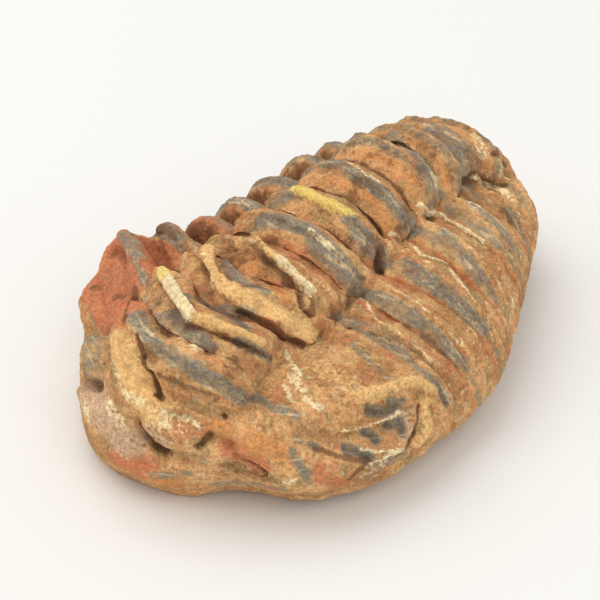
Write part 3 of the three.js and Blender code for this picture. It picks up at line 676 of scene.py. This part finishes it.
def stains(chart):
    """How much of each mineral covers each vertex: the repeating bands, and the single stains over them.
    Umber is painted shade.
    """
    repeating, single = bands(chart), {}
    for mineral, strokes in STAINS.items():
        single[mineral] = np.max([
            strength * chart.top * (1 - smooth(*STAIN_EDGE, chart.gap(path) / width))
            for *path, width, strength in strokes
        ], 0)
    shell = np.max([single["ochre"], single["cream"], single["sulphur"]], 0)
    return {
        mineral: np.maximum(repeating[mineral] * (1 - HIDDEN * shell), cover)
        for mineral, cover in single.items()
    }


# ---- The stone ----

# Patterns of the crust: size in millimetres, detail, roughness, and an offset that keeps them apart. Real
# grit and dust are finer still, and are drawn as coarse as they need to show.
PATTERNS = {
    "patch": (5.5, 3, 0.6, 0),
    "moss": (3.1, 4, 0.7, 4.13),
    "rouge": (2.6, 4, 0.7, 5.21),
    "blotch": (1.7, 4, 0.65, 0.31),
    "fleck": (1.1, 3, 0.7, 2.11),
    "freckle": (0.9, 3, 0.7, 2.93),
    "speck": (0.8, 2, 0.5, 1.37),
    "grain": (0.5, 3, 0.7, 0.73),
    "grit": (0.28, 3, 0.7, 3.3),
    "dust": (0.24, 2, 0.6, 0.91),
}
# Streaks that run across the body with the rings: 1 mm wide, and their length in millimetres.
STREAK = {"Scale": 1, "Detail": 4, "Roughness": 0.65}
STREAK_LENGTH = 5
# What lies over the crust's tan: mineral, pattern, from where to where it shows, and its greatest share.
CRUST = (
    ("rust", "patch", 0.36, 0.64, 1),
    ("orange", "blotch", 0.5, 0.66, 0.55),
    ("ochre", "streak", 0.5, 0.66, 0.5),
    ("olive", "moss", 0.51, 0.62, 0.6),
    ("brick", "rouge", 0.54, 0.64, 0.45),
    ("shadow", "freckle", 0.55, 0.66, 0.5),
    ("chip", "speck", 0.6, 0.7, 0.5),
)
# The same for the remains of shell, over their blue-grey.
OLD_SHELL = (
    ("slate", "grain", 0.42, 0.6, 1),
    ("chip", "streak", 0.54, 0.66, 0.75),
    ("tan", "fleck", 0.56, 0.7, 0.6),
    ("shadow", "streak", 0.5, 0.38, 0.6),
)
# The stains from the lowest to the uppermost with the greatest share of each, and where they begin and end.
STAIN_ORDER = {
    "orange": 0.75, "ochre": 0.7, "brick": 0.72, "violet": 0.7, "slate": 0.85, "umber_and_shade": 0.8, "cream": 0.85,
    "sulphur": 0.85,
}
RAGGED_EDGE = (0.22, 0.72)
COVER_BEGINS = (0.02, 0.3)
# How far each pattern pushes the edges of the stains in and out.
RAGGED_BY = {"blotch": 1.5, "grain": 1.5, "streak": 1}
# Tones multiplied over the colour: what each follows, from where to where, the dark and light tones, and the
# share.
TONES = (
    ("grain", 0.3, 0.7, (0.74, 0.71, 0.68, 1), (1.24, 1.24, 1.22, 1), 0.9),
    ("dust", 0.3, 0.7, (0.86, 0.84, 0.82, 1), (1.14, 1.14, 1.14, 1), 0.9),
    # Relief: painted shade in the hollows and painted light on the rises.
    ("relief", -0.6, 0.35, (0.48, 0.42, 0.37, 1), (1.18, 1.18, 1.15, 1), 0.7),
)
GRAIN_BUMP = 0.7
GRIT_BUMP = 0.4
BUMP_STRENGTH = 0.7
BUMP_DEPTH = 0.35 * MM


def add_node(tree, kind, sockets=None, **settings):
    """Adds a node with its settings, and links or sets its sockets, which go by name or number."""
    node = tree.nodes.new("ShaderNode" + kind)
    for name, value in settings.items():
        setattr(node, name, value)
    for key, value in (sockets or {}).items():
        if isinstance(value, bpy.types.NodeSocket):
            tree.links.new(value, node.inputs[key])
        else:
            node.inputs[key].default_value = value
    return node


def stone_patterns(tree):
    """Every pattern of the stone, from 0 to 1, with the streaks and the relief of the surface itself, which
    the painted shade and light follow.
    """
    where = add_node(tree, "TexCoord").outputs["Object"]
    shows = {
        name: add_node(tree, "Attribute", attribute_name=name).outputs["Fac"]
        for name in ("along", "across", "relief")
    }
    for name, (size, detail, roughness, offset) in PATTERNS.items():
        apart = (offset, offset * 0.7, offset * 0.3)
        moved = add_node(tree, "VectorMath", {0: where, 1: apart}, operation="ADD")
        shows[name] = add_node(tree, "TexNoise", {
            "Vector": moved.outputs[0], "Scale": 1 / (size * MM), "Detail": detail, "Roughness": roughness,
        }).outputs["Fac"]
    run = add_node(tree, "Math", {0: shows["across"], 1: STREAK_LENGTH}, operation="DIVIDE")
    lengthwise = add_node(tree, "CombineXYZ", {"X": shows["along"], "Y": run.outputs[0]})
    shows["streak"] = add_node(tree, "TexNoise", {"Vector": lengthwise.outputs[0], **STREAK}).outputs["Fac"]
    return shows


def laid(tree, below, above, pattern, low, high, most=1.0):
    """One colour laid over another where a pattern goes from low to high, up to its greatest share."""
    share = add_node(tree, "MapRange", {0: pattern, 1: low, 2: high, 4: most},
                     interpolation_type="SMOOTHSTEP")
    return add_node(tree, "Mix", {0: share.outputs[0], 6: below, 7: above}, data_type="RGBA").outputs[2]


def stained(tree, colours, colour, grey, shows):
    """The crust under its stains, whose edges break up along the grains and streaks."""
    ragged = -0.5 * sum(RAGGED_BY.values())
    for name, push in RAGGED_BY.items():
        ragged = add_node(tree, "Math", {0: shows[name], 1: push, 2: ragged},
                          operation="MULTIPLY_ADD").outputs[0]
    for mineral, most in STAIN_ORDER.items():
        cover = add_node(tree, "Attribute", attribute_name=mineral).outputs["Fac"]
        edge = add_node(tree, "Math", {0: cover, 1: ragged}, operation="ADD")
        inside = add_node(tree, "MapRange", {
            0: cover, 1: COVER_BEGINS[0], 2: COVER_BEGINS[1], 4: most,
        }, interpolation_type="SMOOTHSTEP")
        stain = grey if mineral == "slate" else getattr(colours, mineral)
        colour = laid(tree, colour, stain, edge.outputs[0], *RAGGED_EDGE, inside.outputs[0])
    return colour


def ironstone(colours):
    """Ironstone: limonite and clay that filled and replaced the shell, weathered and never polished.

    The eye sees dull grains in many browns, and a faint sheen only where one happens to face the light.
    """
    stone = bpy.data.materials.new("weathered_ironstone")
    stone.use_nodes = True
    tree = stone.node_tree
    tree.nodes.clear()
    shows = stone_patterns(tree)
    colour, grey = colours.tan, colours.blue
    for mineral, pattern, low, high, most in CRUST:
        colour = laid(tree, colour, getattr(colours, mineral), shows[pattern], low, high, most)
    for mineral, pattern, low, high, most in OLD_SHELL:
        grey = laid(tree, grey, getattr(colours, mineral), shows[pattern], low, high, most)
    colour = stained(tree, colours, colour, grey, shows)
    for pattern, low, high, dark, light, share in TONES:
        tone = laid(tree, dark, light, shows[pattern], low, high)
        colour = add_node(tree, "Mix", {0: share, 6: colour, 7: tone}, data_type="RGBA",
                          blend_type="MULTIPLY").outputs[2]
    grains = add_node(tree, "Math", {0: shows["grain"], 1: GRAIN_BUMP}, operation="MULTIPLY")
    height = add_node(tree, "Math", {0: shows["grit"], 1: GRIT_BUMP, 2: grains.outputs[0]},
                      operation="MULTIPLY_ADD")
    bump = add_node(tree, "Bump", {
        "Height": height.outputs[0], "Strength": BUMP_STRENGTH, "Distance": BUMP_DEPTH,
    })
    surface = add_node(tree, "BsdfPrincipled", {
        "Base Color": colour, "Normal": bump.outputs[0], "Roughness": 0.92, "Specular IOR Level": 0.25,
    })
    add_node(tree, "OutputMaterial", {"Surface": surface.outputs[0]})
    return stone


# ---- Settings ----

def length_setting(name, description, millimetres):
    return bpy.props.FloatProperty(
        name=name, description=description, default=millimetres * MM, min=0.0, precision=5, unit="LENGTH",
        subtype="DISTANCE")


def colour_setting(name, description, hex_value):
    return bpy.props.FloatVectorProperty(
        name=name, description=description, default=linear(hex_value), size=4, min=0.0, max=1.0,
        subtype="COLOR")


class FossilShape(bpy.types.PropertyGroup):
    square: length_setting("Square", "Edge length of the crust's mesh squares", 0.34)
    ring_relief: length_setting("Ring relief", "Height of 1 in the profiles of the rings and ribs", 1.0)
    lumps: length_setting("Lumps", "Height of the broad lumps of the crust", 0.5)
    crust: length_setting("Crust", "Height of the crust's rough patches", 0.32)
    grain: length_setting("Grain", "Height of the coarse grains", 0.16)
    crack_depth: bpy.props.FloatProperty(
        name="Crack depth", description="Share of the cracks' and pits' full depth", default=1.0, min=0.0,
        max=2.0, subtype="FACTOR")


class FossilColours(bpy.types.PropertyGroup):
    tan: colour_setting("Tan", "Limonite crust", "D9AB79")
    rust: colour_setting("Rust", "Rust-brown crust", "B58458")
    orange: colour_setting("Orange", "Rust-orange grains on the front slopes", "CC8C56")
    ochre: colour_setting("Ochre", "Pale ochre clay", "E2BA7E")
    brick: colour_setting("Brick", "Red iron oxide, mostly on the left flank", "C06F50")
    olive: colour_setting("Olive", "Olive-brown clay in patches", "9A8458")
    violet: colour_setting("Violet grey", "Thin violet-grey skin on the face", "CDB097")
    slate: colour_setting("Slate", "Grey remains of shell", "8A836B")
    # Umber: painted shade, dark brown in the furrows, cracks, pits and saddles; only its patches over the
    # axis are a dark stain.
    umber_and_shade: colour_setting("Umber", "Dark manganese stain in the furrows", "6A4A32")
    cream: colour_setting("Cream", "Calcite of the broken shell", "E8D6AE")
    sulphur: colour_setting("Sulphur", "Sulphur-yellow patches", "DFC470")
    blue: colour_setting("Blue grey", "Bluer grains within the grey bands", "73777A")
    chip: colour_setting("Chip", "Pale clay flecks on the crust and the grey bands", "D8C7A2")
    shadow: colour_setting("Shadow brown", "Dark lines of the grey bands and spots of the crust", "6E5F48")


# ---- Steps of the piece ----

# Millimetres along the body from one ring to the next, as the streaks are measured.
RING_SPACING = 6.3
MERGE_GAP = 0.01 * MM
WEAR_ROUNDS = 6
# The underside faces down by more than this cosine, and keeps this share of its faces.
UNDERSIDE = -0.5
UNDERSIDE_KEPT = 0.78
TRIANGLE_LIMIT = 200_000
# A hollow is told from the surface smoothed this many times over, and is full at this many millimetres. The
# hollows get painted shade and the rises painted light.
HOLLOW_ROUNDS = 60
HOLLOW_DEPTH = 0.9


def pick(thing):
    """Selects one object only, and makes it active."""
    if bpy.context.object and bpy.context.object.mode != "OBJECT":
        bpy.ops.object.mode_set(mode="OBJECT")
    bpy.ops.object.select_all(action="DESELECT")
    thing.select_set(True)
    bpy.context.view_layer.objects.active = thing


def apply_modifier(thing, name, kind, **settings):
    modifier = thing.modifiers.new(name, kind)
    for key, value in settings.items():
        setattr(modifier, key, value)
    if bpy.ops.object.modifier_apply(modifier=modifier.name) != {"FINISHED"}:
        raise RuntimeError(f"The {name} modifier couldn't be applied.")


def vectors_of(things, name):
    """One vector of every vertex or normal, a row each."""
    flat = np.empty(len(things) * 3, np.float32)
    things.foreach_get(name, flat)
    return flat.reshape(-1, 3).astype(float)


def points_and_normals(mesh):
    return vectors_of(mesh.vertices, "co"), vectors_of(mesh.vertex_normals, "vector")


def move_vertices(mesh, points):
    mesh.vertices.foreach_set("co", points.astype(np.float32).ravel())
    mesh.update()


def store(mesh, name, values):
    layer = mesh.attributes.new(name, "FLOAT", "POINT")
    layer.data.foreach_set("value", values.astype(np.float32))


def smoothed(mesh, points, rounds):
    """The points after each has moved to the middle of its neighbours, over and over."""
    ends = np.empty(len(mesh.edges) * 2, np.int64)
    mesh.edges.foreach_get("vertices", ends)
    a, b = ends.reshape(-1, 2).T
    degree = np.bincount(a, minlength=len(points)) + np.bincount(b, minlength=len(points))
    for _ in range(rounds):
        total = np.stack([
            np.bincount(a, points[b, k], len(points)) + np.bincount(b, points[a, k], len(points))
            for k in range(3)
        ], -1)
        points = 0.5 * points + 0.5 * total / degree[:, None]
    return points


def even_mesh(body, shape):
    """Small squares all over the solid, with its facets worn off and a somewhat coarser underside."""
    bpy.ops.object.mode_set(mode="EDIT")
    bpy.ops.mesh.select_all(action="SELECT")
    bpy.ops.mesh.remove_doubles(threshold=MERGE_GAP)
    bpy.ops.mesh.normals_make_consistent(inside=False)
    bpy.ops.object.mode_set(mode="OBJECT")
    apply_modifier(body, "squares", "REMESH", mode="VOXEL", voxel_size=shape.square)
    apply_modifier(body, "worn", "SMOOTH", factor=0.5, iterations=WEAR_ROUNDS)
    below = body.vertex_groups.new(name="below")
    _, normals = points_and_normals(body.data)
    below.add(np.flatnonzero(normals[:, 2] < UNDERSIDE).tolist(), 1.0, "REPLACE")
    apply_modifier(body, "coarse underside", "DECIMATE", ratio=UNDERSIDE_KEPT, vertex_group="below",
                   use_collapse_triangulate=True)


def dress(mesh, shape):
    """Raises the fine relief, and stores the stains and the place of each vertex for the stone."""
    points, normals = points_and_normals(mesh)
    chart = Chart(points / MM, normals)
    move_vertices(mesh, points + normals * fine_relief(chart, shape)[:, None] * MM)
    for mineral, cover in stains(chart).items():
        store(mesh, mineral, cover)
    store(mesh, "along", chart.at * RING_SPACING)
    store(mesh, "across", chart.across)


def roughen(body, shape):
    """Lumps, rough patches and grains of crust, kept above the resting plane, and the hollows and rises
    stored for painted shade and painted light.
    """
    for name, size, depth, height in (
        ("lumps", 4.5, 2, shape.lumps),
        ("crust", 1.6, 2, shape.crust),
        ("grain", 0.8, 1, shape.grain),
    ):
        texture = bpy.data.textures.new(name, "CLOUDS")
        texture.noise_scale = size * MM
        texture.noise_depth = depth
        apply_modifier(body, name, "DISPLACE", texture=texture, texture_coords="LOCAL", strength=height,
                       mid_level=0.5)
    mesh = body.data
    points, _ = points_and_normals(mesh)
    points[:, 2] = np.maximum(points[:, 2], 0)
    move_vertices(mesh, points)
    _, normals = points_and_normals(mesh)
    # Height over the smoothed surface, from which the stone paints shade in the hollows and light on the
    # rises.
    raised = np.einsum("ij,ij->i", points - smoothed(mesh, points, HOLLOW_ROUNDS), normals) / MM
    store(mesh, "relief", np.clip(raised / HOLLOW_DEPTH, -1, 1))


class FOSSIL_OT_body(bpy.types.Operator):
    """The whole fossil: a fine crust on the solid, with its rings, blades of shell, cracks and stains"""

    bl_idname = "fossil.body"
    bl_label = "Fossil body"

    def execute(self, context):
        shape = context.scene.fossil_shape
        body = bpy.data.objects.new(PIECE, bpy.data.objects[NODE].data.copy())
        context.scene.collection.objects.link(body)
        pick(body)
        even_mesh(body, shape)
        dress(body.data, shape)
        roughen(body, shape)
        triangles = sum(len(face.vertices) - 2 for face in body.data.polygons)
        if not 0 < triangles < TRIANGLE_LIMIT:
            raise RuntimeError(f"The fossil has {triangles} triangles, and the limit is {TRIANGLE_LIMIT}.")
        bpy.ops.object.shade_smooth()
        body.data.materials.clear()
        body.data.materials.append(ironstone(context.scene.fossil_colours))
        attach(body, BODY)
        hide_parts(NODE)
        return {"FINISHED"}


# ---- Stage ----

LOOK_AT = Vector((0.281, -4.788, 12.0)) * MM
CAMERA_AZIMUTH = 37
CAMERA_ELEVATION = 36
CAMERA_DISTANCE = 330 * MM
CAMERA_LENS = 148.5
CAMERA_SENSOR = 36
NEAREST_SEEN = 10 * MM
# Azimuth and elevation in degrees, distance and width in metres, watts and colour.
LIGHTS = {
    "window": (-80, 64, 0.7, 0.8, 2.5, "FFFAF2"),
    "fill": (55, 46, 0.9, 0.8, 1.85, "FFFDF9"),
}
SURROUNDINGS = "F4F4F2"
SURROUNDINGS_STRENGTH = 0.75
FLOOR_SIZE = 6
FLOOR_COLOUR = "ECECEB"
FLOOR_ROUGHNESS = 0.8


def direction(azimuth, elevation):
    """From the fossil out to a point at an azimuth and an elevation in degrees."""
    a, e = math.radians(azimuth), math.radians(elevation)
    return Vector((math.sin(a) * math.cos(e), -math.cos(a) * math.cos(e), math.sin(e)))


def aim(thing, target):
    thing.rotation_euler = (target - thing.location).to_track_quat("-Z", "Y").to_euler()


def add_floor():
    """Pale card, pressed from pulp and uncoated: light spreads over it with no shine."""
    bpy.ops.mesh.primitive_plane_add(size=FLOOR_SIZE)
    floor = bpy.context.object
    floor.name = "floor"
    card = bpy.data.materials.new("pale_card")
    card.use_nodes = True
    surface = card.node_tree.nodes["Principled BSDF"]
    surface.inputs["Base Color"].default_value = linear(FLOOR_COLOUR)
    surface.inputs["Roughness"].default_value = FLOOR_ROUGHNESS
    floor.data.materials.append(card)


def add_light(name, azimuth, elevation, distance, width, watts, hex_value):
    """A round soft light that faces the fossil."""
    bpy.ops.object.light_add(type="AREA")
    light = bpy.context.object
    light.name = name
    light.location = LOOK_AT + direction(azimuth, elevation) * distance
    light.data.shape = "DISK"
    light.data.size = width
    light.data.energy = watts
    light.data.color = linear(hex_value)[:3]
    aim(light, LOOK_AT)


def add_camera():
    bpy.ops.object.camera_add()
    camera = bpy.context.object
    camera.name = "camera"
    camera.data.lens = CAMERA_LENS
    camera.data.sensor_width = CAMERA_SENSOR
    camera.data.clip_start = NEAREST_SEEN
    camera.location = LOOK_AT + direction(CAMERA_AZIMUTH, CAMERA_ELEVATION) * CAMERA_DISTANCE
    aim(camera, LOOK_AT)
    bpy.context.scene.camera = camera


class FOSSIL_OT_stage(bpy.types.Operator):
    """A plain pale floor, soft studio light and the camera"""

    bl_idname = "fossil.stage"
    bl_label = "Stage"

    def execute(self, context):
        pick(bpy.data.objects[PIECE])
        add_floor()
        for name, settings in LIGHTS.items():
            add_light(name, *settings)
        world = bpy.data.worlds.new("studio")
        world.use_nodes = True
        background = world.node_tree.nodes["Background"]
        background.inputs["Color"].default_value = linear(SURROUNDINGS)
        background.inputs["Strength"].default_value = SURROUNDINGS_STRENGTH
        context.scene.world = world
        add_camera()
        context.scene.view_settings.view_transform = "Standard"
        return {"FINISHED"}


class FOSSIL_PT_panel(bpy.types.Panel):
    """Settings and steps of the fossil"""

    bl_idname = "FOSSIL_PT_panel"
    bl_label = "Trilobite fossil"
    bl_space_type = "VIEW_3D"
    bl_region_type = "UI"
    bl_category = "Fossil"

    def draw(self, context):
        column = self.layout.column()
        for name in FossilShape.__annotations__:
            column.prop(context.scene.fossil_shape, name)
        for name in FossilColours.__annotations__:
            column.prop(context.scene.fossil_colours, name)
        column.operator(FOSSIL_OT_body.bl_idname)
        column.operator(FOSSIL_OT_stage.bl_idname)


CLASSES = (FossilShape, FossilColours, FOSSIL_OT_body, FOSSIL_OT_stage, FOSSIL_PT_panel)


def register():
    for each in CLASSES:
        bpy.utils.register_class(each)
    bpy.types.Scene.fossil_shape = bpy.props.PointerProperty(type=FossilShape)
    bpy.types.Scene.fossil_colours = bpy.props.PointerProperty(type=FossilColours)


def unregister():
    del bpy.types.Scene.fossil_shape
    del bpy.types.Scene.fossil_colours
    for each in reversed(CLASSES):
        bpy.utils.unregister_class(each)


def main():
    register()
    bpy.ops.fossil.body()
    bpy.ops.fossil.stage()


if __name__ == "__main__":
    main()
